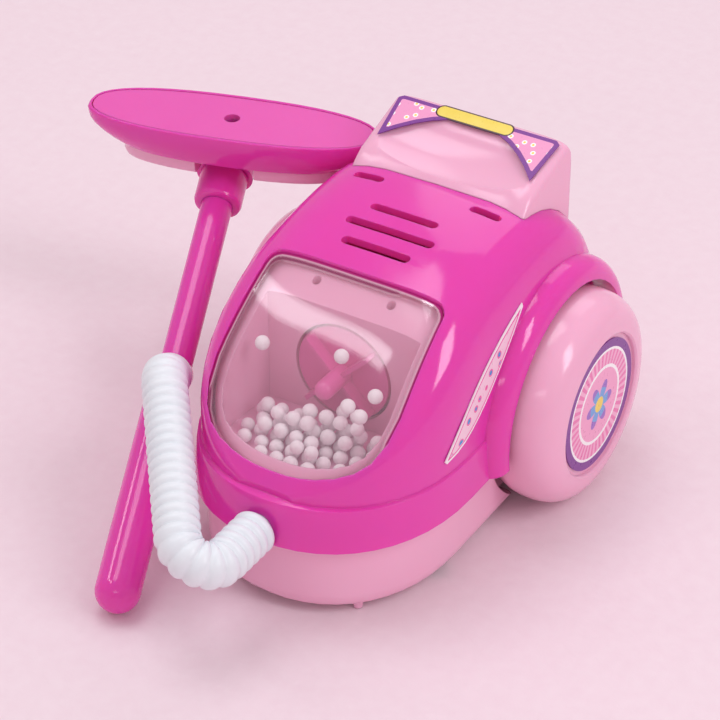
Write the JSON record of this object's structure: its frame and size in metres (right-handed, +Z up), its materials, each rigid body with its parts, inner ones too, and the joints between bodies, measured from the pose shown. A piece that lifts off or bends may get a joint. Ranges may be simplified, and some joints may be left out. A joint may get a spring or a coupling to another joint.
{
  "type": "toy vacuum cleaner",
  "caption": "Toy cylinder vacuum cleaner with a round-nosed body, see-through bead chamber, big side wheels, ribbed hose, and a wand with a swivel floor head.",
  "frame": {"origin": "on the floor, under the middle of the wheel axle", "axes": "+X to the body's left-hand side when seen from the front, which is the picture's right; -Y to the nose; +Z up"},
  "size_m": [0.1527, 0.1458, 0.087],
  "materials": {
    "hot_pink": "glossy",
    "pale_pink": "glossy",
    "clear_pink": "clear",
    "foam": "foam",
    "steel": "bright",
    "motor_can": "plated",
    "cell": "wrapped",
    "dark": "satin",
    "label": "printed film",
    "hose_white": "soft vinyl"
  },
  "bodies": {
    "body": {"top_shell": "hot_pink", "base_shell": "pale_pink", "window": "clear_pink", "dust_chamber": "pale_pink", "foam_beads": "foam", "motor": "motor_can", "motor_bracket": "pale_pink", "body_screws": "steel", "battery_door": "pale_pink", "door_screw": "steel", "battery_cells": "cell", "battery_contacts": "steel", "switch_body": "dark", "axle_bearings": "pale_pink", "rear_handle": "pale_pink", "handle_label": "label", "side_label_left": "label", "side_label_right": "label", "hose_spigot": "hose_white", "hose": "hose_white"},
    "wheelset": {"axle": "steel", "wheel_left": "pale_pink", "wheel_right": "pale_pink", "wheel_label_left": "label", "wheel_label_right": "label"},
    "fan": {"fan_wheel": "hot_pink", "motor_shaft": "steel"},
    "switch": {"switch_knob": "dark"},
    "wand": {"wand_grip": "hot_pink", "wand_tube": "hot_pink", "hose_port": "hose_white", "wand_collar": "hot_pink"},
    "floor_head": {"head_shell": "hot_pink", "head_sole": "hot_pink", "head_screw": "steel", "head_covers": "pale_pink"}
  },
  "joints": [
    {"name": "wheels_roll", "type": "hinge", "parent": "body", "child": "wheelset", "pos_m": [0, 0, 0.0282], "axis": [1, 0, 0], "continuous": true},
    {"name": "fan_spin", "type": "hinge", "parent": "body", "child": "fan", "pos_m": [0, -0.045, 0.0476], "axis": [0, 1, 0], "continuous": true},
    {"name": "switch_slide", "type": "slide", "parent": "body", "child": "switch", "axis": [0, 1, 0], "range_m": [0, 0.004]},
    {"name": "wand_swing", "type": "hinge", "parent": "body", "child": "wand", "pos_m": [-0.004, -0.104, 0.028], "axis": [0, 0, 1], "range_deg": [0, 60], "deforming": ["hose"]},
    {"name": "head_swivel", "type": "hinge", "parent": "wand", "child": "floor_head", "pos_m": [-0.07038, 0.00951, 0.05713], "axis": [-0.3169, 0.8613, 0.3971], "range_deg": [-90, 0]}
  ]
}
